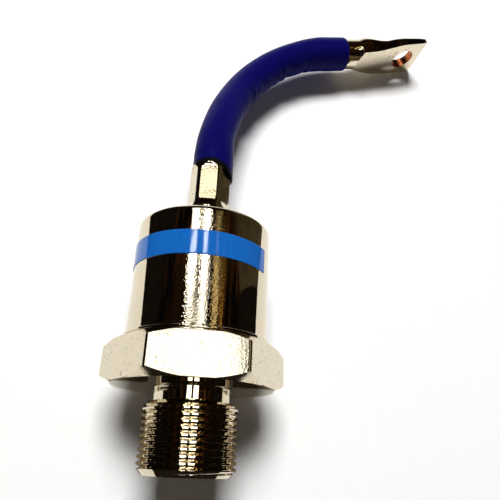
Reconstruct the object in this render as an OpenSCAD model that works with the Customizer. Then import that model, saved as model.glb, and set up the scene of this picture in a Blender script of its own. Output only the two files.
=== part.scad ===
// Stud diode with a flexible lead.
// It lies on one flat of its hexagon: the axis runs along Y with the lead toward +Y, X is to the
// right and Z is up. The origin is on the table, under the middle of the rigid part's length.
// Levels along the axis are measured from the seat, the hexagon's face on the stud's side.

/* [Stud and hexagon] */

// Outside diameter of the stud's thread
stud_d = 24; // [22:0.5:26]
// Length of the stud from the seat to its end
stud_len = 20.3; // [16:0.1:30]
// Chamfer at the stud's free end
stud_end_chamfer = 1.5; // [0.5:0.1:2.5]
// Chamfer where the thread begins at the neck
thread_lead_in = 1.2; // [0.5:0.1:1.3]
// Diameter of the plain neck between the seat and the thread
neck_d = 19.3; // [17:0.1:19.4]
// Length of the plain neck
neck_len = 3.7; // [2.5:0.1:6]
// Width of the hexagon across its flats
hex_af = 41; // [40:0.5:46]
// Thickness of the hexagon
hex_t = 10.6; // [8:0.1:16]
// Diameter of the round face that the chamfer leaves on the stud's side
seat_d = 41.2; // [38:0.2:43]
// Diameter of the round face that the chamfer leaves on the can's side
hex_top_d = 42; // [40:0.2:44]
// Angle between the hexagon's chamfers and its faces, in degrees
hex_chamfer_angle = 33; // [20:1:45]

/* [Can] */

// Outside diameter of the can
can_d = 37; // [34:0.5:38]
// Wall of the can
can_wall = 1; // [0.6:0.1:1.4]
// Height of the can from its foot to its top
can_h = 32; // [30:0.5:42]
// Radius of the can's rounded shoulder
can_shoulder = 1.2; // [1.1:0.1:4]
// How far the foot flange stands out from the can
flange_out = 0.6; // [0.3:0.1:1]
// Thickness of the foot flange
flange_t = 0.7; // [0.5:0.1:1.5]
// Thickness of the weld ring on the hexagon
weld_ring_t = 0.8; // [0.5:0.1:2]

/* [Label] */

// Width of the label band along the can
label_w = 6.5; // [4:0.5:9]
// Height of the label's middle above the can's foot
label_at = 21.5; // [12:0.5:23]
// Thickness of the label
label_t = 0.2; // [0.1:0.05:0.4]
// How far the label wraps round the can, in degrees
label_wrap = 300; // [180:5:340]
// Place of the label's cut end, in degrees from the top toward the right
label_end = 58; // [0:1:90]
// Lean of the label off square, in degrees
label_lean = 1.1; // [0:0.1:2]

/* [Seal and crimp tube] */

// Outside diameter of the glass seal
seal_d = 20.8; // [18:0.2:24]
// Height of the glass seal
seal_h = 6; // [3:0.5:8]
// Depth of the seal's face below the can's top
seal_recess = 0.4; // [0.2:0.1:1]
// Outside diameter of the crimp tube
tube_d = 12; // [11.6:0.2:12.6]
// Wall of the crimp tube
tube_wall = 1.6; // [1.3:0.1:1.8]
// Shift of the tube off the can's axis, toward the right
tube_shift = 0.3; // [0:0.1:1.5]
// Length of the tube below the can's top
tube_inside = 10.4; // [9:0.1:11]
// Length of the tube above the can's top
tube_outside = 24.6; // [24:0.1:34]
// Diameter of the tube's turned-down end inside the sleeve
spigot_d = 10.8; // [10.4:0.1:11.2]
// Width of the crimp across its flats
crimp_af = 11; // [10.6:0.1:11.2]
// Length of the crimping die along the tube
crimp_len = 15.9; // [12:0.1:16.4]
// Height of the die's lower edge above the can's top
crimp_at = 6.2; // [4:0.1:6.8]
// Radius of the die's edges
crimp_edge = 3; // [1:0.1:4]
// Turn of the crimp's flats about the axis, in degrees
crimp_turn = 22; // [0:1:59]

/* [Contact stack] */

// Height of the pedestal on the base
pedestal_h = 2.6; // [1.5:0.1:4]
// Diameter of the silicon wafer
wafer_d = 22; // [18:0.5:22]
// Thickness of the silicon wafer
wafer_t = 0.4; // [0.3:0.05:0.8]
// Width of the coating round the wafer's edge
coating_w = 0.5; // [0.3:0.1:0.8]
// Thickness of the plate under the wafer
lower_plate_t = 2; // [1:0.1:3]
// Diameter of the plate on the wafer
upper_plate_d = 18; // [14:0.5:18]
// Thickness of the plate on the wafer
upper_plate_t = 1.5; // [1:0.1:2.5]
// Thickness of the contact disc
contact_t = 3; // [2:0.1:4]
// Height of the post on the contact disc
post_h = 8; // [6:0.1:9]
// Wall of the post round the inner lead
post_wall = 1; // [0.6:0.1:1.5]
// Depth of the post's socket
socket_depth = 7; // [4:0.1:8]
// Wall of the locating sleeve
locating_wall = 1; // [0.8:0.1:1.2]
// Clearance of the stack inside the locating sleeve
stack_clear = 0.2; // [0.1:0.05:0.3]
// Thickness of the insulating washer
insulator_t = 1; // [0.5:0.1:1.5]
// Thickness of the pressure washer
pressure_washer_t = 1.5; // [1:0.1:2]
// Thickness of a disc spring
spring_t = 1; // [0.8:0.05:1.2]
// Height of a disc spring's cone
spring_rise = 0.6; // [0.4:0.05:0.8]
// Clearance of the spring pack round the post and inside the housing
spring_clear = 0.6; // [0.4:0.1:0.8]
// Thickness of the clamp ring
clamp_t = 1.5; // [1:0.1:2]
// Wall of the spring housing
housing_wall = 2; // [1.2:0.1:2.4]
// Clearance of the locating sleeve inside the housing
housing_clear = 0.3; // [0.2:0.05:0.4]
// Thickness of the housing's lip
lip_t = 1.5; // [1:0.1:2]
// Width of the housing's lip
lip_w = 4; // [2:0.1:5]

/* [Lead and lug] */

// Diameter of the stranded conductor inside the sleeve
conductor_d = 9.8; // [9:0.1:10.4]
// Wall of the sleeve
sleeve_wall = 0.7; // [0.5:0.05:1.2]
// Length of the crimp tube inside the sleeve
sleeve_lap = 3.5; // [2:0.1:4]
// Outside diameter of the lug's barrel
lug_d = 10.8; // [10.2:0.2:12]
// Wall of the lug's barrel
lug_wall = 1; // [0.8:0.1:1.3]
// Length of the lug's barrel
lug_barrel = 12.3; // [11.5:0.1:16]
// Depth of the conductor inside the barrel
lug_depth = 11; // [9:0.1:11]
// Length of the flare between the barrel and the palm
lug_flare = 14; // [8:0.5:18]
// Length of the palm's flat part
palm_len = 15.4; // [13:0.1:24]
// Width of the palm
palm_w = 15.8; // [13:0.1:16]
// Thickness of the palm
palm_t = 3.2; // [2.6:0.1:4.4]
// How far the press that flattens the lug's front bites into the palm
press_depth = 0.2; // [0.1:0.05:0.4]
// Lean of the press's edge across the barrel, as a share of the height
press_lean = 0.28; // [0:0.02:0.4]
// Thickness of the palm's bevelled tip
palm_tip_t = 2; // [1:0.1:2.2]
// Length of the bevel at the palm's tip
palm_bevel = 3; // [2.6:0.1:3.5]
// Cut of the palm's corners
palm_corner = 1.5; // [0.5:0.1:2.5]
// Offset of the palm from the barrel's axis, toward its front
palm_offset = 1.8; // [0:0.1:2.5]
// Turn of the palm against the barrel, in degrees
palm_turn = 5.5; // [0:0.5:8]
// Diameter of the palm's bolt hole
lug_hole_d = 8.5; // [5:0.1:8.8]
// Distance of the bolt hole's centre from the tip
lug_hole_at = 8; // [8:0.1:9]

/* [Hidden] */

$fn = 96;

// Colours
nickel = "#b7b0a2";
copper = "#b5714a";
molybdenum = "#8d8f93";
spring_steel = "#6f7478";

// Radii of the outside pieces
hex_corner_r = hex_af / 2 / cos(30);
can_r = can_d / 2;
flange_r = can_r + flange_out;
seal_r = seal_d / 2;
tube_r = tube_d / 2;
tube_bore_r = tube_r - tube_wall;
crimp_bore_r = crimp_af / 2 - tube_wall;

// Levels of the outside pieces
can_foot = hex_t + weld_ring_t;
can_top = can_foot + can_h;
collar_h = seal_recess + seal_h;
tube_low = can_top - tube_inside;
tube_top = can_top + tube_outside;
crimp_low = can_top + crimp_at;
crimp_top = crimp_low + crimp_len;
crimp_mid = (crimp_low + crimp_top) / 2;
axis_mid = (tube_top - stud_len) / 2;

// Depth of the crimp's ends over which the tube's bore narrows
crimp_taper = 0.6;

// Radii of the contact stack
stack_r = wafer_d / 2 + coating_w;
locating_in_r = stack_r + stack_clear;
locating_out_r = locating_in_r + locating_wall;
housing_in_r = locating_out_r + housing_clear;
housing_out_r = housing_in_r + housing_wall;
post_r = tube_bore_r + post_wall;
spring_in_r = post_r + spring_clear;
spring_out_r = housing_in_r - spring_clear;

// Levels of the contact stack
pedestal_top = hex_t + pedestal_h;
wafer_low = pedestal_top + lower_plate_t;
wafer_top = wafer_low + wafer_t;
contact_low = wafer_top + upper_plate_t;
contact_top = contact_low + contact_t;
washer_low = contact_top + insulator_t;
springs_low = washer_low + pressure_washer_t;
spring_step = spring_t + spring_rise;
springs_top = springs_low + 3 * spring_step;
lip_low = springs_top + clamp_t;
housing_top = lip_low + lip_t;
post_top = contact_top + post_h;

// Route of the lead, from the middle of the tube's end: right, along the axis and up.
// Its last three points lie on the axis of the lug's barrel.
route = [
    [0, 0, 0],
    [0, 2, 0],
    [0.6, 7, -0.3],
    [1.35, 12, -1.1],
    [2.4, 17, -2.2],
    [3.6, 22, -3.5],
    [5.1, 27, -5],
    [7.1, 32, -6.4],
    [9.5, 36.8, -7.5],
    [12.3, 41.2, -8.3],
    [15.5, 45.2, -8.8],
    [19.1, 48.9, -9.1],
    [23.1, 52.2, -9.3],
    [27.5, 55.1, -9.4],
    [32.3, 57.6, -9.6],
    [37.6, 59.6, -9.8],
    [39.2, 60, -9.9],
    [47.2, 62, -10.4]
];
last = len(route) - 1;

// Sides of the lead's sweeps
lead_sides = 12;
flat_share = cos(180 / lead_sides);

// Radii of the lead
conductor_r = conductor_d / 2;
spigot_r = spigot_d / 2;
tube_lap_r = spigot_r / flat_share;
barrel_bore_r = lug_d / 2 - lug_wall;
barrel_lap_r = lug_d / 2 / flat_share;

// Place of the lead and of the lug on it
axis_z = hex_af / 2;
tube_end = [tube_shift, tube_top - axis_mid, axis_z];
lead_line = [for (p = route) tube_end + p];
lug_root = lead_line[last - 1];
lug_dir = unit(lead_line[last] - lug_root);
lug_heading = atan2(lug_dir[1], lug_dir[0]);
lug_dip = asin(-lug_dir[2]);
palm_start = lug_barrel + lug_flare;
palm_back = [-sin(palm_turn), cos(palm_turn), 0];

// Sections of the lug: rings along the flare, the share of it that the press's edge takes,
// sides, and squareness from round to flat
flare_rings = 8;
press_step = 0.05;
lug_sides = 48;
barrel_squareness = 2;
palm_squareness = 8;

function unit(v) = v / norm(v);

// A point of the crimp tube's axis at a level
function tube_point(level) = [tube_shift, level - axis_mid, axis_z];

// A point of the can's axis at a level
function axis_point(level) = [0, level - axis_mid, axis_z];

// Direction of a path at point i, along the chord of its neighbours
function heading(path, i) =
    unit(path[min(i + 1, len(path) - 1)] - path[max(i - 1, 0)]);

// Ring of points round point i of a path
function ring(path, i, r) =
    let (
        along = heading(path, i),
        side = unit(cross(along, [0, 0, 1])),
        up = cross(side, along)
    )
    [
        for (k = [0 : lead_sides - 1])
            let (a = k * 360 / lead_sides)
            path[i] + r * (cos(a) * side + sin(a) * up)
    ];

// Triangles between ring i and the next one of a skin, wound outward, with points from first on
function skin(sides, first, i) = [
    for (k = [0 : sides - 1])
        let (
            a = first + i * sides,
            b = a + sides,
            next = (k + 1) % sides
        )
        each [[a + k, a + next, b + next], [a + k, b + next, b + k]]
];

function reversed(face) = [for (j = [len(face) - 1 : -1 : 0]) face[j]];

function mix(a, b, share) = a + (b - a) * share;

// Solid through a list of rings with the same number of points
module lofted(rings) {
    n = len(rings);
    sides = len(rings[0]);
    start_cap = [for (k = [sides - 1 : -1 : 0]) k];
    end_cap = [for (k = [0 : sides - 1]) (n - 1) * sides + k];
    polyhedron(
        points = [for (points = rings) each points],
        faces = concat(
            [start_cap, end_cap],
            [for (i = [0 : n - 2]) each skin(sides, 0, i)]
        )
    );
}

// Solid rod along a path, with a radius at each point
module swept_rod(path, radii) {
    lofted([for (i = [0 : len(path) - 1]) ring(path, i, radii[i])]);
}

// Open tube along a path, with an inside radius at each point and one wall
module swept_tube(path, radii, wall) {
    n = len(path);
    inner = n * lead_sides;
    start_rim = [
        for (k = [0 : lead_sides - 1])
            let (next = (k + 1) % lead_sides)
            [next, k, inner + k, inner + next]
    ];
    end_rim = [for (face = start_rim) reversed([for (v = face) v + (n - 1) * lead_sides])];
    polyhedron(
        points = concat(
            [for (i = [0 : n - 1]) each ring(path, i, radii[i] + wall)],
            [for (i = [0 : n - 1]) each ring(path, i, radii[i])]
        ),
        faces = concat(
            start_rim,
            end_rim,
            [for (i = [0 : n - 2]) each skin(lead_sides, 0, i)],
            [for (i = [0 : n - 2]) for (face = skin(lead_sides, inner, i)) reversed(face)]
        )
    );
}

// Stands a piece that is drawn along Z on the seat, along the diode's axis
module on_axis(level = 0) {
    translate(axis_point(level)) rotate([-90, 0, 0]) children();
}

// The same on the crimp tube's own axis
module on_tube(level = 0) {
    translate(tube_point(level)) rotate([-90, 0, 0]) children();
}

// Places a piece that is drawn along X on the axis of the lug's barrel
module on_lug() {
    translate(lug_root) rotate([0, lug_dip, lug_heading]) children();
}

// Flat ring
module ring_plate(in_r, out_r, t) {
    rotate_extrude() translate([in_r, 0]) square([out_r - in_r, t]);
}

// Half section of a round block with a rounded top edge
module rounded_half(r, h, edge) {
    square([r - edge, h]);
    square([r, h - edge]);
    translate([r - edge, h - edge]) circle(edge);
}

// Hexagon with both ends chamfered to round faces
module chamfered_hexagon() {
    reach = hex_corner_r + 0.2;
    seat_r = seat_d / 2;
    top_r = hex_top_d / 2;
    slope = tan(hex_chamfer_angle);
    intersection() {
        cylinder(r = hex_corner_r, h = hex_t, $fn = 6);
        rotate_extrude() polygon([
            [0, 0],
            [seat_r, 0],
            [reach, (reach - seat_r) * slope],
            [reach, hex_t - (reach - top_r) * slope],
            [top_r, hex_t],
            [0, hex_t]
        ]);
    }
}

// Stud below the seat: neck, thread's outside and end chamfer
module stud_shank() {
    stud_r = stud_d / 2;
    rotate_extrude() polygon([
        [0, 1],
        [neck_d / 2, 1],
        [neck_d / 2, -neck_len],
        [stud_r - thread_lead_in, -neck_len],
        [stud_r, -neck_len - thread_lead_in],
        [stud_r, stud_end_chamfer - stud_len],
        [stud_r - stud_end_chamfer, -stud_len],
        [0, -stud_len]
    ]);
}

module stud_base() {
    color(nickel) on_axis() {
        chamfered_hexagon();
        stud_shank();
        translate([0, 0, hex_t - 1]) cylinder(r = locating_out_r, h = pedestal_h + 1);
    }
}

module weld_ring() {
    color(nickel) on_axis(hex_t) ring_plate(can_r - can_wall, flange_r, weld_ring_t);
}

// Room inside the can, round the collar that is drawn inward for the seal
module can_room() {
    difference() {
        translate([0, -1])
            rounded_half(can_r - can_wall, can_h - can_wall + 1, max(can_shoulder - can_wall, 0.1));
        translate([0, can_h - collar_h]) square([seal_r + can_wall, collar_h]);
    }
}

module can() {
    color(nickel) on_axis(can_foot) rotate_extrude() difference() {
        union() {
            rounded_half(can_r, can_h, can_shoulder);
            square([flange_r, flange_t]);
        }
        can_room();
        translate([0, -1]) square([seal_r, can_h + 2]);
    }
}

module label_band() {
    color("#2a55b0") on_axis(can_foot + label_at) intersection() {
        rotate([0, 0, label_end - 90 - label_wrap]) rotate_extrude(angle = label_wrap)
            translate([can_r, -label_w]) square([label_t, 2 * label_w]);
        rotate([0, label_lean, 0]) cube([3 * can_r, 3 * can_r, label_w], center = true);
    }
}

module glass_seal() {
    color("#3d5a4a") difference() {
        on_axis(can_top - collar_h) cylinder(r = seal_r, h = seal_h);
        on_tube(can_top - collar_h - 1) cylinder(r = tube_r, h = seal_h + 2);
    }
}

// Side view of one crimping die, from its working face outward
module die_half() {
    translate([crimp_edge, 0]) square([tube_r, crimp_len]);
    translate([0, crimp_edge]) square([tube_r, crimp_len - 2 * crimp_edge]);
    for (y = [crimp_edge, crimp_len - crimp_edge])
        translate([crimp_edge, y]) circle(crimp_edge);
}

// The six dies that press the crimp
module crimp_dies() {
    for (k = [0 : 5])
        rotate([0, 0, crimp_turn + 60 * k]) translate([crimp_af / 2, 0, 0])
            rotate([90, 0, 0]) linear_extrude(height = 2 * tube_r, center = true) die_half();
}

module crimp_tube() {
    wide_low = crimp_low + crimp_taper;
    wide_top = crimp_top - crimp_taper;
    color(nickel) difference() {
        union() {
            on_tube(tube_low) cylinder(r = tube_r, h = tube_top - sleeve_lap - tube_low);
            on_tube(tube_low) cylinder(r = spigot_r, h = tube_top - tube_low);
        }
        on_tube(crimp_low) crimp_dies();
        on_tube(tube_low - 1) cylinder(r = crimp_bore_r, h = tube_top - tube_low + 2);
        on_tube(tube_low - 1) cylinder(r = tube_bore_r, h = wide_low - tube_low + 1);
        on_tube(wide_top) cylinder(r = tube_bore_r, h = tube_top - wide_top + 1);
    }
}

module spring_housing() {
    color(spring_steel) on_axis() {
        translate([0, 0, hex_t]) ring_plate(housing_in_r, housing_out_r, housing_top - hex_t);
        translate([0, 0, lip_low]) ring_plate(housing_in_r - lip_w, housing_in_r + 1, lip_t);
    }
}

module locating_sleeve() {
    color("#e8e4d8") on_axis(pedestal_top)
        ring_plate(locating_in_r, locating_out_r, contact_top - pedestal_top);
}

module lower_plate() {
    color(molybdenum) on_axis(pedestal_top) cylinder(r = stack_r, h = lower_plate_t);
}

module silicon_wafer() {
    color("#4a4f5a") on_axis(wafer_low) cylinder(d = wafer_d, h = wafer_t);
}

module edge_coating() {
    color("#c9c4b4") on_axis(wafer_low) ring_plate(wafer_d / 2, stack_r, wafer_t);
}

module upper_plate() {
    color(molybdenum) on_axis(wafer_top) cylinder(d = upper_plate_d, h = upper_plate_t);
}

module contact_post() {
    color(copper) on_axis() difference() {
        union() {
            translate([0, 0, contact_low]) cylinder(r = stack_r, h = contact_t);
            translate([0, 0, contact_low]) cylinder(r = post_r, h = contact_t + post_h);
        }
        translate([0, 0, post_top - socket_depth]) cylinder(r = tube_bore_r, h = socket_depth + 1);
    }
}

module insulating_washer() {
    color("#d9cfa8") on_axis(contact_top) ring_plate(spring_in_r, stack_r, insulator_t);
}

module pressure_washer() {
    color(spring_steel) on_axis(washer_low) ring_plate(spring_in_r, spring_out_r, pressure_washer_t);
}

// Conical disc spring that stands on its outer edge
module disc_spring() {
    color(spring_steel) rotate_extrude() polygon([
        [spring_out_r, 0],
        [spring_out_r, spring_t],
        [spring_in_r, spring_t + spring_rise],
        [spring_in_r, spring_rise]
    ]);
}

module disc_spring_1() {
    on_axis(springs_low) disc_spring();
}

// The middle spring stands the other way up, on its inner edge
module disc_spring_2() {
    on_axis(springs_low + 2 * spring_step) mirror([0, 0, 1]) disc_spring();
}

module disc_spring_3() {
    on_axis(springs_low + 2 * spring_step) disc_spring();
}

module clamp_ring() {
    color(spring_steel) on_axis(springs_top) ring_plate(spring_in_r, spring_out_r, clamp_t);
}

// Conductor from the post's socket over to the tube and into the lower half of the crimp
module inner_lead() {
    narrow = crimp_low + crimp_taper;
    path = concat(
        [axis_point(post_top - socket_depth), axis_point(post_top)],
        [for (level = [tube_low, narrow - crimp_taper, narrow, crimp_mid]) tube_point(level)]
    );
    color(copper)
        swept_rod(path, concat([for (i = [0 : 3]) tube_bore_r], [crimp_bore_r, crimp_bore_r]));
}

// Conductor from the upper half of the crimp along the route into the lug's barrel
module outer_lead() {
    narrow = crimp_top - crimp_taper;
    path = concat(
        [for (level = [crimp_mid, narrow, narrow + crimp_taper]) tube_point(level)],
        [for (i = [0 : last - 1]) lead_line[i]],
        [lug_root + lug_depth * lug_dir]
    );
    radii = concat(
        [crimp_bore_r, crimp_bore_r, tube_bore_r, tube_bore_r],
        [for (i = [1 : last - 2]) conductor_r],
        [barrel_bore_r, barrel_bore_r]
    );
    color(copper) swept_rod(path, radii);
}

// Sleeve stretched over the tube's spigot and over the lug's barrel
module lead_sleeve() {
    path = concat([tube_point(tube_top - sleeve_lap)], lead_line);
    radii = concat(
        [tube_lap_r, tube_lap_r],
        [for (i = [1 : last - 2]) conductor_r],
        [barrel_lap_r, barrel_lap_r]
    );
    color("#1c2b63") swept_tube(path, radii, sleeve_wall);
}

// Section of the lug: its middle, its turn, half its thickness and width, and how square it is
function lug_section(middle, turn, half_t, half_w, squareness) = [
    for (k = [0 : lug_sides - 1])
        let (
            a = -k * 360 / lug_sides,
            y = half_t * sign(cos(a)) * pow(abs(cos(a)), 2 / squareness),
            z = half_w * sign(sin(a)) * pow(abs(sin(a)), 2 / squareness)
        )
        middle + [-y * sin(turn), y * cos(turn), z]
];

function barrel_section(x) = lug_section([x, 0, 0], 0, lug_d / 2, lug_d / 2, barrel_squareness);

// Section at a share of the flare, from the round barrel to the flat palm. It leans as the press's
// edge does at the barrel, and stands square at the palm.
function flare_section(share) =
    let (
        ease = share * share * (3 - 2 * share),
        points = lug_section(
            [lug_barrel + lug_flare * share, -palm_offset * ease, 0],
            palm_turn * ease,
            mix(lug_d, palm_t, ease) / 2,
            mix(lug_d, palm_w, ease) / 2,
            mix(barrel_squareness, palm_squareness, ease)
        )
    )
    [for (p = points) p + [press_lean * (1 - share) * (1 - share) * p[2], 0, 0]];

// Middle of the palm at a distance from the end of the flare
function palm_point(x) = [palm_start + x * cos(palm_turn), x * sin(palm_turn) - palm_offset, 0];

// Distance of a point of the lug behind the plane that its front is pressed to
function behind_press(p) = (p - palm_point(0)) * palm_back + palm_t / 2 - press_depth;

// A section with its front pressed flat
function pressed(points) = [for (p = points) p - min(0, behind_press(p)) * palm_back];

// Section of the palm at a distance before its tip, inside the bevel, with its corners cut
function tip_section(before, cut) =
    lug_section(
        palm_point(palm_len - before),
        palm_turn,
        mix(palm_tip_t, palm_t, before / palm_bevel) / 2,
        palm_w / 2 - cut,
        palm_squareness
    );

// Tube lug with its end pressed flat
module cable_lug() {
    shares = concat([press_step], [for (j = [1 : flare_rings]) j / flare_rings]);
    tips = [tip_section(palm_bevel, 0), tip_section(palm_corner, 0), tip_section(0, palm_corner)];
    sections = concat(
        [barrel_section(0), flare_section(0)],
        [for (share = shares) pressed(flare_section(share))],
        [for (points = tips) pressed(points)]
    );
    color(nickel) on_lug() difference() {
        lofted(sections);
        translate([-1, 0, 0]) rotate([0, 90, 0]) cylinder(r = barrel_bore_r, h = lug_depth + 1);
        translate(palm_point(palm_len - lug_hole_at)) rotate([90, 0, palm_turn])
            cylinder(d = lug_hole_d, h = 2 * palm_t, center = true);
    }
}

stud_base();
weld_ring();
can();
label_band();
glass_seal();
crimp_tube();
spring_housing();
locating_sleeve();
lower_plate();
silicon_wafer();
edge_coating();
upper_plate();
contact_post();
insulating_washer();
pressure_washer();
disc_spring_1();
disc_spring_2();
disc_spring_3();
clamp_ring();
inner_lead();
outer_lead();
lead_sleeve();
cable_lug();
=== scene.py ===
"""Dresses a stud diode with a flexible lead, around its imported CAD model.

The part lies on one flat of its hexagon: its axis runs along Y with the lead toward +Y, X is to the
right and Z is up. Levels along the axis are measured from the seat, as in the part's source.
"""
import math

import bmesh
import bpy
from bpy.props import FloatProperty, FloatVectorProperty, PointerProperty
from mathutils import Matrix, Vector


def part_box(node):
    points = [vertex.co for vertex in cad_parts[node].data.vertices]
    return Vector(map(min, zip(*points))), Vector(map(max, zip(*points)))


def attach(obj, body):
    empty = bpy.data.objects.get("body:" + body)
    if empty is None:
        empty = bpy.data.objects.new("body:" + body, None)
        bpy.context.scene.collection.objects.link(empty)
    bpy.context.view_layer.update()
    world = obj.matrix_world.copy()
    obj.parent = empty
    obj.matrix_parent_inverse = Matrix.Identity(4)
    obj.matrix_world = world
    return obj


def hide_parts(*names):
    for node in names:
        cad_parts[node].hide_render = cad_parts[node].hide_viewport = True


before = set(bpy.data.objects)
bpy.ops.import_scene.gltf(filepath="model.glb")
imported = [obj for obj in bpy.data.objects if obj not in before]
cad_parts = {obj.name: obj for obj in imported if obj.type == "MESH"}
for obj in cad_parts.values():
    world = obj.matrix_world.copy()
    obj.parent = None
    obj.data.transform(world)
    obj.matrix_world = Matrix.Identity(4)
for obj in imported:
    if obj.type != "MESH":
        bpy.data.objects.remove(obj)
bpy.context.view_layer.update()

bl_info = {
    "name": "Stud diode",
    "version": (1, 0, 0),
    "blender": (4, 5, 0),
    "location": "3D View > Sidebar > Stud diode",
    "description": "Builds the looks of a stud diode with a flexible lead around its CAD model",
    "category": "Object",
}

MM = 0.001
BODY = "root"

# Places taken from the CAD model
stud_low, stud_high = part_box("stud_base")
can_low, can_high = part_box("can")
tube_low, tube_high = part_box("crimp_tube")
AXIS_Z = (stud_low[2] + stud_high[2]) / 2
TUBE_X = (tube_low[0] + tube_high[0]) / 2
CAN_FOOT = can_low[1]
CAN_TOP = can_high[1]

# Route of the lead's middle line, from the sleeve's mouth on the crimp tube to its end on the lug
ROUTE = [
    (0.0003, 0.04065, 0.0205),
    (0.0003, 0.04415, 0.0205),
    (0.0003, 0.04615, 0.0205),
    (0.0009, 0.05115, 0.0202),
    (0.00165, 0.05615, 0.0194),
    (0.0027, 0.06115, 0.0183),
    (0.0039, 0.06615, 0.0170),
    (0.0054, 0.07115, 0.0155),
    (0.0074, 0.07615, 0.0141),
    (0.0098, 0.08095, 0.0130),
    (0.0126, 0.08535, 0.0122),
    (0.0158, 0.08935, 0.0117),
    (0.0194, 0.09305, 0.0114),
    (0.0234, 0.09635, 0.0112),
    (0.0278, 0.09925, 0.0111),
    (0.0326, 0.10175, 0.0109),
    (0.0379, 0.10375, 0.0107),
    (0.0395, 0.10415, 0.0106),
    (0.0475, 0.10615, 0.0101),
]
LUG_ROOT = Vector(ROUTE[-2])


def linear(code):
    """Turns an sRGB hex colour into linear red, green and blue."""
    parts = [int(code[i:i + 2], 16) / 255 for i in (1, 3, 5)]
    return [p / 12.92 if p <= 0.04045 else ((p + 0.055) / 1.055) ** 2.4 for p in parts]


def length(name, description, default):
    """A size in metres that the sidebar shows."""
    return FloatProperty(
        name=name, description=description, default=default, subtype="DISTANCE", unit="LENGTH", precision=5)


def angle(name, description, degrees):
    """An angle that the sidebar shows, from its size in degrees."""
    return FloatProperty(
        name=name, description=description, default=math.radians(degrees), subtype="ANGLE", unit="ROTATION")


def brightness(name, description, default):
    """A lamp's radiance that the sidebar shows."""
    return FloatProperty(name=name, description=description, default=default, min=0)


def colour(name, description, code):
    """A colour that the sidebar shows, from its sRGB hex value."""
    return FloatVectorProperty(
        name=name, description=description, default=linear(code), subtype="COLOR", min=0, max=1)


class StudSizes(bpy.types.PropertyGroup):
    """Sizes of the threaded stud and its hexagon."""
    seat: length("Seat", "Place of the seat along the axis", -0.02385)
    stud_r: length("Thread radius", "Radius over the thread's crests", 0.012)
    root_r: length("Root radius", "Radius at the thread's roots", 0.01108)
    pitch: length("Pitch", "Pitch of the thread", 0.0015)
    stud_len: length("Stud length", "From the seat to the stud's end", 0.0203)
    end_chamfer: length("End chamfer", "Chamfer at the stud's free end", 0.0015)
    lead_in: length("Lead-in", "Chamfer where the thread begins at the neck", 0.0012)
    neck_r: length("Neck radius", "Radius of the plain neck", 0.00965)
    neck_len: length("Neck length", "Length of the plain neck", 0.0037)
    neck_fillet: length("Neck fillet", "Fillet between the neck and the seat", 0.0004)
    hex_af: length("Across flats", "Width of the hexagon across its flats", 0.041)
    hex_t: length("Hexagon thickness", "Thickness of the hexagon", 0.0106)
    seat_r: length("Seat radius", "Round face that the chamfer leaves on the stud's side", 0.0206)
    top_r: length("Top radius", "Round face that the chamfer leaves on the can's side", 0.021)
    corner_r: length("Corner radius", "Rounding of the hexagon's corners", 0.0008)
    edge_break: length("Edge break", "Small chamfer along the hexagon's flats", 0.00025)
    chamfer: angle("Chamfer angle", "Angle of the hexagon's chamfers", 33)
    pedestal_r: length("Pedestal radius", "Radius of the pedestal inside the can", 0.0127)
    pedestal_h: length("Pedestal height", "Height of the pedestal inside the can", 0.0026)


class CanSizes(bpy.types.PropertyGroup):
    """Sizes of the can, its label, its seal and its crimp tube."""
    can_r: length("Can radius", "Outside radius of the can", 0.0185)
    can_wall: length("Can wall", "Wall of the can", 0.001)
    flange_r: length("Flange radius", "Outside radius of the foot flange", 0.0191)
    flange_t: length("Flange thickness", "Thickness of the foot flange", 0.0007)
    shoulder: length("Shoulder", "Radius of the can's rounded shoulder", 0.0012)
    seal_r: length("Seal radius", "Outside radius of the glass seal", 0.0104)
    seal_h: length("Seal height", "Height of the glass seal", 0.006)
    seal_recess: length("Seal recess", "Depth of the seal's face below the can's top", 0.0004)
    label_w: length("Label width", "Width of the label band along the can", 0.0065)
    label_at: length("Label place", "Height of the label's middle above the can's foot", 0.0215)
    label_t: length("Label thickness", "Thickness of the label", 0.0002)
    label_wrap: angle("Label wrap", "How far the label wraps round the can", 300)
    label_end: angle("Label end", "Place of the label's cut end, from the top toward the right", 58)
    label_lean: angle("Label lean", "Lean of the label off square", 1.1)
    tube_r: length("Tube radius", "Outside radius of the crimp tube", 0.006)
    tube_wall: length("Tube wall", "Wall of the crimp tube", 0.0016)
    spigot_r: length("Spigot radius", "Radius of the tube's end inside the sleeve", 0.0054)
    spigot_len: length("Spigot length", "Length of the tube's end inside the sleeve", 0.0035)
    crimp_half: length("Crimp half width", "Half the crimp's width across its flats", 0.0055)
    crimp_len: length("Crimp length", "Length of the crimping die along the tube", 0.0159)
    crimp_at: length("Crimp place", "Height of the die's lower edge above the can's top", 0.0062)
    crimp_edge: length("Crimp edge", "Radius of the die's edges", 0.003)
    crimp_foot: length("Crimp foot", "Radius of the die's lower edge", 0.006)
    crimp_turn: angle("Crimp turn", "Turn of the crimp's upper flat from the top", -8)


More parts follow.
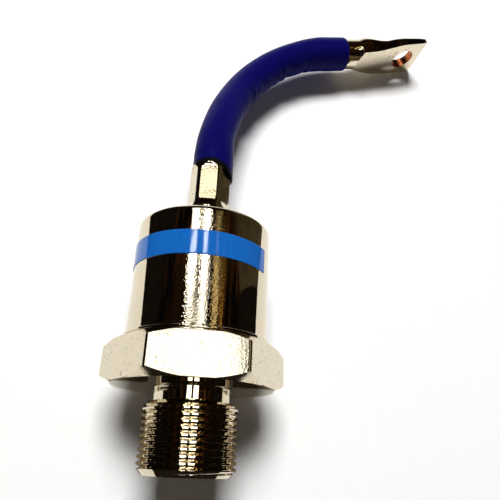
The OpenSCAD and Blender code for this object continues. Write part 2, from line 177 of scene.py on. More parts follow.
class LeadSizes(bpy.types.PropertyGroup):
    """Sizes of the sleeved lead and the cable lug."""
    sleeve_r: length("Sleeve radius", "Outside radius of the sleeve over the conductor", 0.00575)
    lap_r: length("Lap radius", "Outside radius of the sleeve over the tube and the barrel", 0.0061)
    sleeve_wall: length("Sleeve wall", "Wall of the sleeve", 0.0007)
    mouth_lip: length("Mouth lip", "How far the sleeve's mouth reaches down on its right side", 0.0033)
    collar: length("Collar", "Length of the near-black band that shows at the sleeve's mouth", 0.0011)
    mouth_shift: length("Mouth shift", "How far the loose sleeve sits to the right on the tube's end", 0.0005)
    fold: length("Fold depth", "Depth of the folds on the inner side of the bend", 0.0005)
    swell: length("Fold swell", "How far the sleeve swells between the folds", 0.0006)
    fold_step: length("Fold spacing", "Spacing of the folds on the inner side of the bend", 0.0056)
    lug_r: length("Barrel radius", "Outside radius of the lug's barrel", 0.0054)
    bore_r: length("Barrel bore", "Radius of the barrel's bore", 0.0044)
    barrel: length("Barrel length", "Length of the lug's barrel", 0.0123)
    depth: length("Bore depth", "Depth of the barrel's bore", 0.011)
    flare: length("Flare length", "Length of the flare between the barrel and the palm", 0.014)
    palm_len: length("Palm length", "Length of the palm's flat part", 0.01536)
    palm_w: length("Palm width", "Width of the palm", 0.0158)
    crest: length("Palm crest", "Height of the palm's upper edge over the barrel's axis", 0.0077)
    heel: length("Heel", "Extra thickness behind the flare, where the tube's wall is folded", 0.0014)
    palm_t: length("Palm thickness", "Thickness of the palm", 0.0032)
    press_depth: length("Press depth", "How far the press on the lug's front bites into the palm", 0.0002)
    press_lean: FloatProperty(
        name="Press lean", description="Lean of the press's edge across the barrel, as a share", default=0.28)
    tip_t: length("Tip thickness", "Thickness of the palm's bevelled tip", 0.002)
    tip_bevel: length("Tip bevel", "Length of the bevel at the palm's tip", 0.003)
    corner: length("Palm corner", "Cut of the palm's corners", 0.0007)
    offset: length("Palm offset", "Offset of the palm from the barrel's axis", 0.0018)
    turn: angle("Palm turn", "Turn of the palm against the barrel", 5.5)
    hole_r: length("Hole radius", "Radius of the palm's bolt hole", 0.00425)
    hole_at: length("Hole place", "Distance of the bolt hole's centre from the tip", 0.00796)


class Finishes(bpy.types.PropertyGroup):
    """Colours of the finishes."""
    nickel: colour("Nickel", "Bright nickel plate", "#ded2b8")
    stain: colour("Nickel stain", "Brown bloom in the plate's pits", "#6b5a3e")
    label: colour("Label", "Blue of the label film", "#1768bf")
    sleeve: colour("Sleeve", "Navy of the insulating sleeve", "#0c0a58")
    copper: colour("Copper", "Bare copper", "#b8683f")
    glass: colour("Seal glass", "Grey-green of the glass seal", "#5b6a5d")
    floor: colour("Floor", "White of the table", "#fdfdfc")


class StageSettings(bpy.types.PropertyGroup):
    """Camera and studio light."""
    lens: FloatProperty(
        name="Lens", description="Focal length on a 36 mm sensor", default=35.73, unit="CAMERA")
    light: brightness("Key light", "Radiance of the softbox that lights the part", 31.0)
    strip: brightness("Strip light", "Radiance of the overhead strips that polished metal mirrors", 16.0)
    glow: brightness("Panel glow", "Radiance of the dim panels that polished metal mirrors", 2.4)
    lamp_height: length("Lamp height", "Height of the strips above the table", 1.5)


class DiodeSettings(bpy.types.PropertyGroup):
    """All settings of the stud diode."""
    stud: PointerProperty(type=StudSizes, name="Stud")
    can: PointerProperty(type=CanSizes, name="Can")
    lead: PointerProperty(type=LeadSizes, name="Lead")
    finish: PointerProperty(type=Finishes, name="Finishes")
    stage: PointerProperty(type=StageSettings, name="Stage")


# Nodes and materials

def add(tree, kind, inputs=None, **settings):
    """Adds one node with its settings, and sets or links its inputs."""
    made = tree.nodes.new(kind)
    for key, value in settings.items():
        setattr(made, key, value)
    for key, value in (inputs or {}).items():
        if isinstance(value, bpy.types.NodeSocket):
            tree.links.new(value, made.inputs[key])
        else:
            made.inputs[key].default_value = value
    return made


def scale_of(size_mm):
    """Scale of a pattern whose features have that size in millimetres."""
    return 1 / (size_mm * MM)


def rgba(parts):
    """Adds full opacity to a colour."""
    return (*parts, 1.0)


def dimmed(parts, share):
    """A darker shade of a colour."""
    return [p * share for p in parts]


def new_material(name):
    """Starts a material: its node tree, its shader and the place on the piece in metres."""
    made = bpy.data.materials.new(name)
    made.use_nodes = True
    tree = made.node_tree
    tree.nodes.clear()
    shader = add(tree, "ShaderNodeBsdfPrincipled")
    add(tree, "ShaderNodeOutputMaterial", {"Surface": shader.outputs[0]})
    return made, tree, shader, add(tree, "ShaderNodeTexCoord").outputs["Object"]


def dress(tree, shader, mixed, dull, bump, metallic):
    """Gives a shader its colour, its roughness, its relief and its metal."""
    shader.inputs["Metallic"].default_value = metallic
    tree.links.new(mixed.outputs[2], shader.inputs["Base Color"])
    tree.links.new(dull.outputs["Result"], shader.inputs["Roughness"])
    tree.links.new(bump.outputs["Normal"], shader.inputs["Normal"])


def plated(name, base, stain, pit_mm, pit_depth_mm, rough, bloom_mm, stain_share, worn=None):
    """Nickel plate: a warm mirror with pits that break each highlight, and a brown bloom in patches.
    Worn gives a strip along Y that holds the pits: its middle and half width in metres, and its lean."""
    made, tree, shader, place = new_material(name)
    pits = add(tree, "ShaderNodeTexNoise", {
        "Vector": place, "Scale": scale_of(pit_mm), "Detail": 2.0, "Roughness": 0.55})
    bloom = add(tree, "ShaderNodeTexNoise", {
        "Vector": place, "Scale": scale_of(bloom_mm), "Detail": 4.0, "Roughness": 0.6})
    deep = add(tree, "ShaderNodeMapRange", {
        "Value": pits.outputs["Fac"], "From Min": 0.30, "From Max": 0.46, "To Min": 1.0, "To Max": 0.0})
    patch = add(tree, "ShaderNodeMapRange", {
        "Value": bloom.outputs["Fac"], "From Min": 0.45, "From Max": 0.7, "To Min": 0.15, "To Max": 1.0})
    share = add(tree, "ShaderNodeMath", {
        0: deep.outputs["Result"], 1: patch.outputs["Result"]}, operation="MULTIPLY")
    amount = add(tree, "ShaderNodeMath", {0: share.outputs["Value"], 1: stain_share}, operation="MULTIPLY")
    mixed = add(tree, "ShaderNodeMix", {
        "Factor": amount.outputs["Value"], 6: rgba(base), 7: rgba(stain)}, data_type="RGBA")
    dull = add(tree, "ShaderNodeMapRange", {
        "Value": bloom.outputs["Fac"], "From Min": 0.3, "From Max": 0.75,
        "To Min": rough[0], "To Max": rough[1]})
    bump = add(tree, "ShaderNodeBump", {
        "Height": pits.outputs["Fac"], "Strength": 1.0, "Distance": pit_depth_mm * MM})
    if worn:
        middle, half, lean = worn
        apart = add(tree, "ShaderNodeSeparateXYZ", {"Vector": place})
        shift = add(tree, "ShaderNodeMath", {
            0: apart.outputs["Y"], 1: -lean, 2: -middle}, operation="MULTIPLY_ADD")
        side = add(tree, "ShaderNodeMath", {
            0: apart.outputs["X"], 1: shift.outputs["Value"]}, operation="ADD")
        away = add(tree, "ShaderNodeMath", {0: side.outputs["Value"]}, operation="ABSOLUTE")
        depth = add(tree, "ShaderNodeMapRange", {
            "Value": away.outputs["Value"], "From Min": half * 0.6, "From Max": half,
            "To Min": 1.0, "To Max": 0.08}, interpolation_type="SMOOTHSTEP")
        tree.links.new(depth.outputs["Result"], bump.inputs["Strength"])
    dress(tree, shader, mixed, dull, bump, 1.0)
    return made


def grained(name, base, second, grain_mm, rough, metallic=0.0, bump_mm=0.0, specular=0.5):
    """A plain finish with two shades in its grain, and a fine relief."""
    made, tree, shader, place = new_material(name)
    grain = add(tree, "ShaderNodeTexNoise", {
        "Vector": place, "Scale": scale_of(grain_mm), "Detail": 5.0, "Roughness": 0.6})
    tone = add(tree, "ShaderNodeMapRange", {
        "Value": grain.outputs["Fac"], "From Min": 0.35, "From Max": 0.65})
    mixed = add(tree, "ShaderNodeMix", {
        "Factor": tone.outputs["Result"], 6: rgba(base), 7: rgba(second)}, data_type="RGBA")
    dull = add(tree, "ShaderNodeMapRange", {
        "Value": grain.outputs["Fac"], "From Min": 0.3, "From Max": 0.7,
        "To Min": rough[0], "To Max": rough[1]})
    bump = add(tree, "ShaderNodeBump", {
        "Height": grain.outputs["Fac"], "Strength": 1.0, "Distance": bump_mm * MM})
    shader.inputs["Specular IOR Level"].default_value = specular
    dress(tree, shader, mixed, dull, bump, metallic)
    return made


def once(name, make, *shades, **values):
    """A material by its name, made the first time that it is asked for."""
    return bpy.data.materials.get(name) or make(name, *shades, **values)


def finishes():
    """The colours that the sidebar shows."""
    return bpy.context.scene.diode.finish


def drawn_nickel():
    # Bright nickel plate on drawn steel: nearly a mirror, warm in tint. Pits of half a millimetre along its
    # upper side break the highlights into speckle.
    shade = finishes()
    return once(
        "bright nickel plate, drawn steel", plated, shade.nickel, shade.stain,
        pit_mm=0.5, pit_depth_mm=0.04, rough=(0.01, 0.03), bloom_mm=6.0, stain_share=0.5,
        worn=(0.0, 0.008, 0.22))


def turned_nickel():
    # Bright nickel plate on a turned stud: mirror flanks with fine turning marks lost under the plate
    shade = finishes()
    return once(
        "bright nickel plate, turned copper", plated, shade.nickel, shade.stain,
        pit_mm=0.5, pit_depth_mm=0.003, rough=(0.02, 0.05), bloom_mm=5.0, stain_share=0.6)


def milled_nickel():
    # Bright nickel plate on a milled hexagon: flat mirrors with small brown pits
    shade = finishes()
    return once(
        "bright nickel plate, milled copper", plated, shade.nickel, shade.stain,
        pit_mm=0.6, pit_depth_mm=0.011, rough=(0.05, 0.1), bloom_mm=3.0, stain_share=1.0)


def pressed_nickel():
    # Bright nickel plate on pressed tube: a mirror scuffed by the die, with brown in the low spots
    shade = finishes()
    return once(
        "bright nickel plate, pressed copper tube", plated, shade.nickel, shade.stain,
        pit_mm=0.8, pit_depth_mm=0.02, rough=(0.04, 0.08), bloom_mm=2.5, stain_share=1.0)


def bare_copper():
    # Bare copper, cut or drawn: red metal with a dull brown film
    shade = finishes()
    return once(
        "bare copper, drawn", grained, shade.copper, dimmed(shade.copper, 0.6),
        grain_mm=0.8, rough=(0.2, 0.32), metallic=1.0, bump_mm=0.006)


def label_film():
    # Printed polyester film: an even ink coat under a glossy face, with faint mottle of the print
    shade = finishes()
    return once(
        "printed polyester film, blue", grained, shade.label, dimmed(shade.label, 0.86),
        grain_mm=0.9, rough=(0.06, 0.1), bump_mm=0.001)


def sleeve_plastic():
    # Shrunk polyolefin tube: deep navy, satin, with a fine ripple left by the strands below
    shade = finishes()
    return once(
        "shrunk polyolefin tube, navy", grained, shade.sleeve, dimmed(shade.sleeve, 0.8),
        grain_mm=1.6, rough=(0.4, 0.5), bump_mm=0.02, specular=0.05)


def dark_mouth_band():
    # Near-black, matt band round the sleeve's mouth, on its outer and inner faces
    return once(
        "rubber liner, black", grained, linear("#0a0a12"), linear("#06060c"),
        grain_mm=1.2, rough=(0.5, 0.65), bump_mm=0.01, specular=0.1)


def seal_glass():
    # Pressed sealing glass: grey-green and glossy, with fine bubbles that show as mottle
    shade = finishes()
    return once(
        "pressed sealing glass, grey-green", grained, shade.glass, dimmed(shade.glass, 0.7),
        grain_mm=0.7, rough=(0.08, 0.16), bump_mm=0.004)


def spring_steel():
    # Spring strip, oiled and hardened: dark grey metal with a dull sheen
    return once(
        "spring steel, oiled and hardened", grained, linear("#6f7478"), linear("#565b60"),
        grain_mm=0.6, rough=(0.3, 0.45), metallic=1.0, bump_mm=0.006)


def molybdenum():
    # Sintered plate, ground flat: pale grey metal. Its grain is drawn coarser than the real one to show.
    return once(
        "molybdenum, sintered and ground", grained, linear("#94969a"), linear("#7f8186"),
        grain_mm=0.3, rough=(0.35, 0.5), metallic=1.0, bump_mm=0.004)


def silicon():
    # Lapped silicon: smooth blue-grey, between a metal and a stone in its shine. Its lapping marks are drawn
    # coarser than the real ones to show.
    return once(
        "silicon, lapped", grained, linear("#4a4f5a"), linear("#3d424d"),
        grain_mm=0.4, rough=(0.12, 0.22), metallic=0.6, bump_mm=0.001)


def cast_silicone():
    # Cast silicone rubber: cream and soft in its shine
    return once(
        "silicone rubber, cast", grained, linear("#c9c4b4"), linear("#b8b2a1"),
        grain_mm=0.8, rough=(0.5, 0.65), bump_mm=0.008)


def split_mica():
    # Split mica: straw yellow with a low gloss that changes from flake to flake
    return once(
        "mica, split", grained, linear("#d9cfa8"), linear("#bfb287"),
        grain_mm=1.5, rough=(0.25, 0.4), bump_mm=0.006)


def fluoropolymer():
    # Sintered fluoropolymer: off-white and waxy
    return once(
        "fluoropolymer, sintered", grained, linear("#ebe7dc"), linear("#dcd7c9"),
        grain_mm=1.0, rough=(0.45, 0.6), bump_mm=0.005)


def white_board():
    # White coated board: matt, with a faint mottle
    white = finishes().floor
    return once("white coated board", grained, white, dimmed(white, 0.985), grain_mm=3.0, rough=(0.75, 0.85))


def black_card():
    # Black flock card: takes nearly all the light that falls on it
    return once(
        "black flock card", grained, linear("#1b1815"), linear("#221d18"),
        grain_mm=1.0, rough=(0.9, 1.0), specular=0.0)


def olive_card():
    # Uncoated olive card: dark and matt, in uneven patches
    return once(
        "olive grey card", grained, linear("#5c4c30"), linear("#453a26"), grain_mm=12.0, rough=(0.9, 1.0))


def table_shade_card():
    # Painted table shade: a matt grey card, warm in tint, in uneven patches, that only metal and gloss mirror
    return once(
        "warm grey card", grained, linear("#8a7d66"), linear("#766b58"), grain_mm=12.0, rough=(0.9, 1.0))


# Meshes

def place_piece(obj, materials, slot_name, *nodes):
    """Gives a piece its materials and its body, and hides the CAD nodes that it stands for. Its slot name is
    not used.
    """
    for made in materials:
        obj.data.materials.append(made)
    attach(obj, BODY)
    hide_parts(*nodes)


def skinned(name, rings, closed=False, sharp=30.0, bands=None):
    """Mesh through rings with the same number of points. Closed joins the last ring to the first, and
    otherwise both ends get a face. Bands gives the material of each strip between two rings."""
    bm = bmesh.new()
    rows = [[bm.verts.new(p) for p in ring] for ring in rings]
    count = len(rows[0])
    pairs = list(zip(rows, rows[1:])) + ([(rows[-1], rows[0])] if closed else [])
    for strip, (low, high) in enumerate(pairs):
        for k in range(count):
            face = bm.faces.new((low[k], low[k - 1], high[k - 1], high[k]))
            face.material_index = bands[strip] if bands else 0
    if not closed:
        bm.faces.new(rows[0])
        bm.faces.new(list(reversed(rows[-1])))
    bmesh.ops.remove_doubles(bm, verts=bm.verts, dist=1e-7)
    bmesh.ops.recalc_face_normals(bm, faces=bm.faces)
    mesh = bpy.data.meshes.new(name)
    bm.to_mesh(mesh)
    bm.free()
    return finished(name, mesh, sharp)


def finished(name, mesh, sharp):
    """Object of a mesh with smooth faces and edges that stay crisp past an angle."""
    for polygon in mesh.polygons:
        polygon.use_smooth = True
    mesh.set_sharp_from_angle(angle=math.radians(sharp))
    obj = bpy.data.objects.new(name, mesh)
    bpy.context.scene.collection.objects.link(obj)
    return obj


def columns(count):
    """Evenly spaced angles of a full turn."""
    return [math.tau * k / count for k in range(count)]


def ring(y, radius, angles, x=0.0):
    """Ring of points round an axis along Y, at angles from the top toward the right. Its place and its
    radius may depend on the angle."""
    points = []
    for a in angles:
        r = radius(a) if callable(radius) else radius
        points.append(Vector((x + r * math.sin(a), y(a) if callable(y) else y, AXIS_Z + r * math.cos(a))))
    return points


def eased(corners, closed=False, steps=5):
    """Profile of (place, radius) points with each corner rounded by its third number."""
    out = []
    for i, (y, r, ease) in enumerate(corners):
        corner = Vector((y, r))
        if not ease or (not closed and i in (0, len(corners) - 1)):
            out.append(corner)
            continue
        start = corner + (Vector(corners[i - 1][:2]) - corner).normalized() * ease
        end = corner + (Vector(corners[(i + 1) % len(corners)][:2]) - corner).normalized() * ease
        for k in range(steps + 1):
            t = k / steps
            out.append(start * (1 - t) ** 2 + corner * 2 * t * (1 - t) + end * t * t)
    return out


def held(profile, closed=False, margin=0.0003):
    """Adds points close to the ends of each long stretch, so that its shading stays straight."""
    out = []
    count = len(profile)
    for i in range(count if closed else count - 1):
        a, b = profile[i], profile[(i + 1) % count]
        out.append(a)
        if (b - a).length > 4 * margin:
            step = (b - a).normalized() * margin
            out += [a + step, b - step]
    return out if closed else out + [profile[-1]]


def turned_ring(name, corners, count):
    """Ring-shaped piece turned from a closed profile."""
    angles = columns(count)
    profile = held(eased(corners, True), True)
    return skinned(name, [ring(y, r, angles) for y, r in profile], True)


def smooth_path(points, step, fine=24):
    """Points along a smooth curve through the given ones, evenly about a step apart, and its length."""
    given = [Vector(p) for p in points]
    given = [2 * given[0] - given[1]] + given + [2 * given[-1] - given[-2]]
    dense = []
    for a, b, c, d in zip(given, given[1:], given[2:], given[3:]):
        for k in range(fine):
            t = k / fine
            point = 2 * b + (c - a) * t
            point += (2 * a - 5 * b + 4 * c - d) * t ** 2
            point += (3 * b - a - 3 * c + d) * t ** 3
            dense.append(0.5 * point)
    dense.append(given[-2])
    along = [0.0]
    for a, b in zip(dense, dense[1:]):
        along.append(along[-1] + (b - a).length)
    count = max(2, round(along[-1] / step))
    out, at = [], 0
    for k in range(count + 1):
        want = along[-1] * k / count
        while at < len(along) - 2 and along[at + 1] < want:
            at += 1
        share = (want - along[at]) / (along[at + 1] - along[at])
        out.append(dense[at].lerp(dense[at + 1], min(max(share, 0.0), 1.0)))
    return out, along[-1]


def ramp(value, low, high):
    """Rises smoothly from 0 at low to 1 at high."""
    t = min(max((value - low) / (high - low), 0.0), 1.0)
    return t * t * (3 - 2 * t)


def level_corners(left, right, near, far, height):
    """Corners of a level rectangle."""
    return [(left, near, height), (right, near, height), (right, far, height), (left, far, height)]


# Pieces

class DIODE_OT_stage(bpy.types.Operator):
    """Sets the camera, the white table, the cards and lamps round the part and the dark room"""
    bl_idname = "diode.stage"
    bl_label = "Stage"

    def execute(self, context):
        scene = context.scene
        stage = scene.diode.stage
        scene.view_settings.view_transform = "Standard"
        self.camera(scene, stage)
        self.table(scene)
        self.cards(scene)
        self.lamps(scene, stage)
        self.room(scene)
        return {"FINISHED"}

    def camera(self, scene, stage):
        data = bpy.data.cameras.new("camera")
        data.sensor_width = 36
        data.lens = stage.lens
        data.clip_start = 0.001
        obj = bpy.data.objects.new("camera", data)
        # Place and directions that were fitted to the hexagon, the can's rims and the thread
        place = (-0.00462, -0.03997, 0.15133)
        forward = Vector((0.1246, 0.3899, -0.9124)).normalized()
        upward = Vector((-0.0946, 0.92, 0.3802))
        right = forward.cross(upward).normalized()
        turned = Matrix((right, right.cross(forward), -forward)).transposed()
        obj.matrix_world = Matrix.Translation(place) @ turned.to_4x4()
        scene.collection.objects.link(obj)
        scene.camera = obj

    def sheet(self, scene, name, corners, made):
        mesh = bpy.data.meshes.new(name)
        mesh.from_pydata(corners, [], [range(len(corners))])
        mesh.materials.append(made)
        obj = bpy.data.objects.new(name, mesh)
        scene.collection.objects.link(obj)
        return obj

    def table(self, scene):
        # The table lies just under the part, so that no two faces coincide
        reach, low = 4.0, -0.0002
        self.sheet(scene, "table", level_corners(-reach, reach, -reach, reach, low), white_board())

    def cards(self, scene):
        # Cards that only polished metal and gloss mirror: dark ones stand beside the part on lines that run
        # from point to point, and grey ones lie on the table beside the stud as painted shade of the table
        # there
        top = 0.09
        standing = (
            ("flag_left", black_card(), (
                (-0.3, -0.03), (-0.134, 0.036), (-0.085, 0.053), (-0.068, 0.071), (-0.055, 0.13))),
            ("flag_right", black_card(), ((0.3, -0.2), (0.164, -0.031), (0.123, 0.038))),
            ("flag_behind", olive_card(), ((0.123, 0.038), (0.082, 0.051), (0.063, 0.07), (0.06, 0.09))),
            ("flag_front", black_card(), ((-0.075, -0.092), (0.075, -0.092))),
            ("flag_stud_left", black_card(), ((-0.069, -0.092), (-0.069, -0.03))),
            ("flag_stud_right", black_card(), ((0.064, -0.092), (0.064, -0.03))),
        )
        sheets = []
        for name, card, line in standing:
            for k, (start, end) in enumerate(zip(line, line[1:])):
                corners = [(*start, 0), (*end, 0), (*end, top), (*start, top)]
                sheets.append(self.sheet(scene, f"{name}_{k + 1}", corners, card))
        # Grey cards: painted shade, darker than the lit table beside the stud that the thread and hexagon
        # mirror
        near, far, lift = -0.05, -0.0275, 0.0001
        for name, left, right in (("shade_card_left", -0.06, -0.0125), ("shade_card_right", 0.0125, 0.06)):
            sheets.append(self.sheet(scene, name, level_corners(left, right, near, far, lift), table_shade_card()))
        for obj in sheets:
            obj.visible_camera = False
            obj.visible_diffuse = False
            obj.visible_shadow = False

    def lamps(self, scene, stage):
        # A softbox behind the part lights it, above the strips and panels, which show only in polished metal
        # and gloss
        place, size = (-0.11, 0.94, stage.lamp_height * 1.1), (0.77, 0.66)
        softbox = self.lamp(scene, "softbox", place, size, 0.0, stage.light, "#ffffff")
        softbox.visible_glossy = False
        lean = math.radians(21.8)
        # Name, place along X and Y, width, span, turn, radiance and tint
        mirrored = (
            ("strip_left", -0.516, 0.665, 0.26, 0.15, lean, stage.strip, "#ffffff"),
            ("strip_right", -0.006, 0.665, 0.16, 0.15, lean, stage.strip, "#ffffff"),
            ("panel_high_left", -0.604, 0.885, 0.25, 0.31, lean, stage.glow, "#ffffff"),
            ("panel_high_right", -0.094, 0.885, 0.17, 0.31, lean, stage.glow, "#ffffff"),
            ("panel_low_left", -0.435, 0.4625, 0.205, 0.235, lean, stage.glow, "#ffffff"),
            ("panel_low_right", 0.075, 0.4625, 0.225, 0.235, lean, stage.glow, "#ffffff"),
            ("panel_hexagon", -0.022, 0.2575, 0.455, 0.175, 0.0, stage.glow, "#ffffff"),
            ("panel_front_left", -0.29, -0.04, 0.35, 0.42, 0.0, stage.glow * 1.5, "#ffffff"),
            ("panel_front_right", 0.234, -0.04, 0.37, 0.42, 0.0, stage.glow * 1.5, "#ffffff"),
            ("panel_far", -0.36, 0.93, 0.2, 0.18, lean, stage.glow * 0.8, "#fff8e6"),
            ("strip_cream", 0.598, 0.47, 0.12, 0.6, lean, 1.3, "#ffe0a0"),
            ("strip_gold", 0.98, 0.47, 0.12, 0.6, lean, 0.4, "#e0a850"),
        )
        for name, x, y, width, span, turn, radiance, tint in mirrored:
            panel = self.lamp(scene, name, (x, y, stage.lamp_height), (width, span), turn, radiance, tint)
            panel.visible_diffuse = False

    def lamp(self, scene, name, place, size, turn, radiance, tint):
        data = bpy.data.lights.new(name, "AREA")
        data.shape = "RECTANGLE"
        data.size, data.size_y = size
        data.energy = radiance * math.pi * data.size * data.size_y
        data.color = linear(tint)
        obj = bpy.data.objects.new(name, data)
        obj.location = place
        obj.rotation_euler.z = turn
        scene.collection.objects.link(obj)
        return obj

    def room(self, scene):
        # A dark brown room above a pale skirting, the same for the camera and for the metal
        world = bpy.data.worlds.new("room")
        world.use_nodes = True
        tree = world.node_tree
        tree.nodes.clear()
        toward = add(tree, "ShaderNodeTexCoord").outputs["Generated"]
        height = add(tree, "ShaderNodeSeparateXYZ", {"Vector": toward})
        dusk = add(tree, "ShaderNodeTexNoise", {"Vector": toward, "Scale": 9.0, "Detail": 2.0})
        band = add(tree, "ShaderNodeMapRange", {
            "Value": dusk.outputs["Fac"], "From Min": 0.5, "From Max": 0.72})
        dark, brown, skirting = rgba(linear("#080605")), rgba(linear("#3a2412")), rgba(linear("#e4e2de"))
        warm = add(tree, "ShaderNodeMix", {
            "Factor": band.outputs["Result"], 6: dark, 7: brown}, data_type="RGBA")
        pale = add(tree, "ShaderNodeMapRange", {
            "Value": height.outputs["Z"], "From Min": 0.06, "From Max": 0.3,
            "To Min": 1.0, "To Max": 0.0}, interpolation_type="SMOOTHSTEP")
        shade = add(tree, "ShaderNodeMix", {
            "Factor": pale.outputs["Result"], 6: warm.outputs[2], 7: skirting}, data_type="RGBA")
        light = add(tree, "ShaderNodeBackground", {"Color": shade.outputs[2], "Strength": 1.0})
        add(tree, "ShaderNodeOutputWorld", {"Surface": light.outputs[0]})
        scene.world = world


class DIODE_OT_lug(bpy.types.Operator):
    """Builds the cable lug: a round barrel that is pressed flat into a palm with a bolt hole"""
    bl_idname = "diode.lug"
    bl_label = "Cable lug"

    def execute(self, context):
        size = context.scene.diode.lead
        along = (Vector(ROUTE[-1]) - LUG_ROOT).normalized()
        heading, dip = math.atan2(along.y, along.x), math.asin(-along.z)
        stand = Matrix.Translation(LUG_ROOT) @ Matrix.Rotation(heading, 4, "Z") @ Matrix.Rotation(dip, 4, "Y")
        sides = 192
        crisp = 32
        # How square a section is: the power of its outline, from the round barrel to the flat palm
        round_power, flat_power = 2, 8
        # Shares of the flare: where its upper edge starts and stops rising, where the wall behind it is
        # thickest, and where the press is full
        rise_start, rise_end, heel_end, press_end = 0.4, 1.5, 0.6, 0.05
        palm_start = size.barrel + size.flare
        back = Vector((-math.sin(size.turn), math.cos(size.turn), 0))
        front = Vector((palm_start, -size.offset, 0)) - back * (size.palm_t / 2 - size.press_depth)

        def top(x):
            """Height of the upper edge."""
            rise = ramp(x, size.barrel + size.flare * rise_start, size.barrel + size.flare * rise_end)
            return size.lug_r + (size.crest - size.lug_r) * rise

        def heel(x):
            """Extra thickness at the back."""
            swell = ramp(x, size.barrel, size.barrel + size.flare * heel_end)
            return size.heel * swell * (1 - ramp(x, palm_start, palm_start + size.palm_len))

        def section(x, y, turn, half_t, half_w, power, press=0.0, lean=0.0, crest=None, extra=0.0):
            """Ring across the lug. Press flattens its front, lean tilts it along the lug, crest is the height
            of its upper half, and extra is more thickness at its back."""
            points = []
            for a in columns(sides):
                rear, upper = math.cos(a), math.sin(a)
                reach = crest if crest and upper > 0 else half_w
                half = half_t + (extra if rear > 0 else 0.0)
                depth = half * math.copysign(abs(rear) ** (2 / power), rear)
                height = reach * math.copysign(abs(upper) ** (2 / power), upper)
                if press and rear < 0 < upper:
                    # The press leaves a sharp edge between the front and the top
                    past = 2 * (a / (math.pi / 2) - 1)
                    depth += (-half_t * min(past, 1.0) - depth) * press
                    height += (reach * min(2 - past, 1.0) - height) * press
                along_lug = x - depth * math.sin(turn) + lean * height
                point = Vector((along_lug, y + depth * math.cos(turn), height))
                point -= back * min((point - front).dot(back), 0.0) * press
                points.append(stand @ point)
            return points

        def flare(share):
            """Ring at a share of the flare, between the round barrel and the flat palm."""
            x = size.barrel + size.flare * share
            ease = ramp(share, 0.0, 1.0)
            press = ramp(share, 0.0, press_end)
            half_t = size.lug_r + (size.palm_t / 2 - size.lug_r) * ease
            half_w = size.lug_r + (size.palm_w / 2 - size.lug_r) * ease
            power = round_power + (flat_power - round_power) * ease
            lean = size.press_lean * (1 - share) ** 2
            return section(
                x, -size.offset * ease, size.turn * ease, half_t, half_w, power, press, lean, top(x), heel(x))

        def palm(before, cut=0.0, thin=0.0):
            """Ring of the palm at a distance before its tip, with its width cut and its thickness thinned."""
            x = size.palm_len - before
            share = min(before / size.tip_bevel, 1.0)
            half_t = (size.tip_t + (size.palm_t - size.tip_t) * share) / 2 - thin
            return section(
                palm_start + x * math.cos(size.turn), x * math.sin(size.turn) - size.offset, size.turn,
                half_t, size.palm_w / 2 - cut, flat_power, press=1.0,
                crest=top(palm_start + x) - cut, extra=heel(palm_start + x))

        # The bore from its end to the mouth, then the barrel's outside up to the press
        lip, run_out = 0.0003, 0.0022
        rings = [section(x, 0, 0, size.bore_r, size.bore_r, round_power) for x in (size.depth, 0)]
        for x in (0, lip, size.barrel * 0.5, size.barrel - run_out):
            rings.append(section(x, 0, 0, size.lug_r, size.lug_r, round_power))
        # The flare, with close rings where the press begins
        flare_steps = 40
        shares = [0.0, 0.012, 0.03, 0.045] + [k / flare_steps for k in range(2, flare_steps + 1)]
        rings += [flare(share) for share in shares]
        # The palm, with close rings where the tip's bevel begins
        palm_steps, margin = 12, 0.0004
        befores = [size.palm_len * (1 - k / palm_steps) for k in range(1, palm_steps - 3)]
        befores += [size.tip_bevel + margin, size.tip_bevel, size.tip_bevel - margin]
        rings += [palm(before) for before in befores]
        # The tip, with its corners cut round
        tip_steps, tip_thin = 6, 0.0003
        for k in range(tip_steps + 1):
            bend = math.radians(90 * k / tip_steps)
            cut = 1 - math.cos(bend)
            rings.append(palm(size.corner * (1 - math.sin(bend)), size.corner * cut, tip_thin * cut))
        lug = skinned("lug", rings, sharp=crisp)
        place_piece(lug, [pressed_nickel(), bare_copper()], "lug_plate", "cable_lug")
        self.drill(context, lug, stand, size, crisp)
        return {"FINISHED"}

    def drill(self, context, lug, stand, size, crisp):
        x = size.palm_len - size.hole_at
        palm_start = size.barrel + size.flare
        middle = Vector((palm_start + x * math.cos(size.turn), x * math.sin(size.turn) - size.offset, 0))
        across = Vector((math.sin(size.turn), -math.cos(size.turn), 0))
        side = Vector((math.cos(size.turn), math.sin(size.turn), 0))
        # The hole's corners stay off the palm's middle line, where the cut would leave slivers
        twist = math.radians(1.3)
        rings = []
        for reach in (-2 * size.palm_t, 2 * size.palm_t):
            points = []
            for a in columns(72):
                level = side * size.hole_r * math.cos(a + twist)
                upright = Vector((0, 0, size.hole_r * math.sin(a + twist)))
                points.append(stand @ (middle + across * reach + level + upright))
            rings.append(points)
        drill = skinned("drill", rings)
        for made in (pressed_nickel(), bare_copper()):
            drill.data.materials.append(made)
        for polygon in drill.data.polygons:
            polygon.material_index = 1
        cut = lug.modifiers.new("bolt hole", "BOOLEAN")
        cut.object = drill
        cut.solver = "EXACT"
        evaluated = lug.evaluated_get(context.evaluated_depsgraph_get())
        mesh = bpy.data.meshes.new_from_object(evaluated)
        lug.modifiers.remove(cut)
        lug.data = mesh
        mesh.set_sharp_from_angle(angle=math.radians(crisp))
        bpy.data.objects.remove(drill)


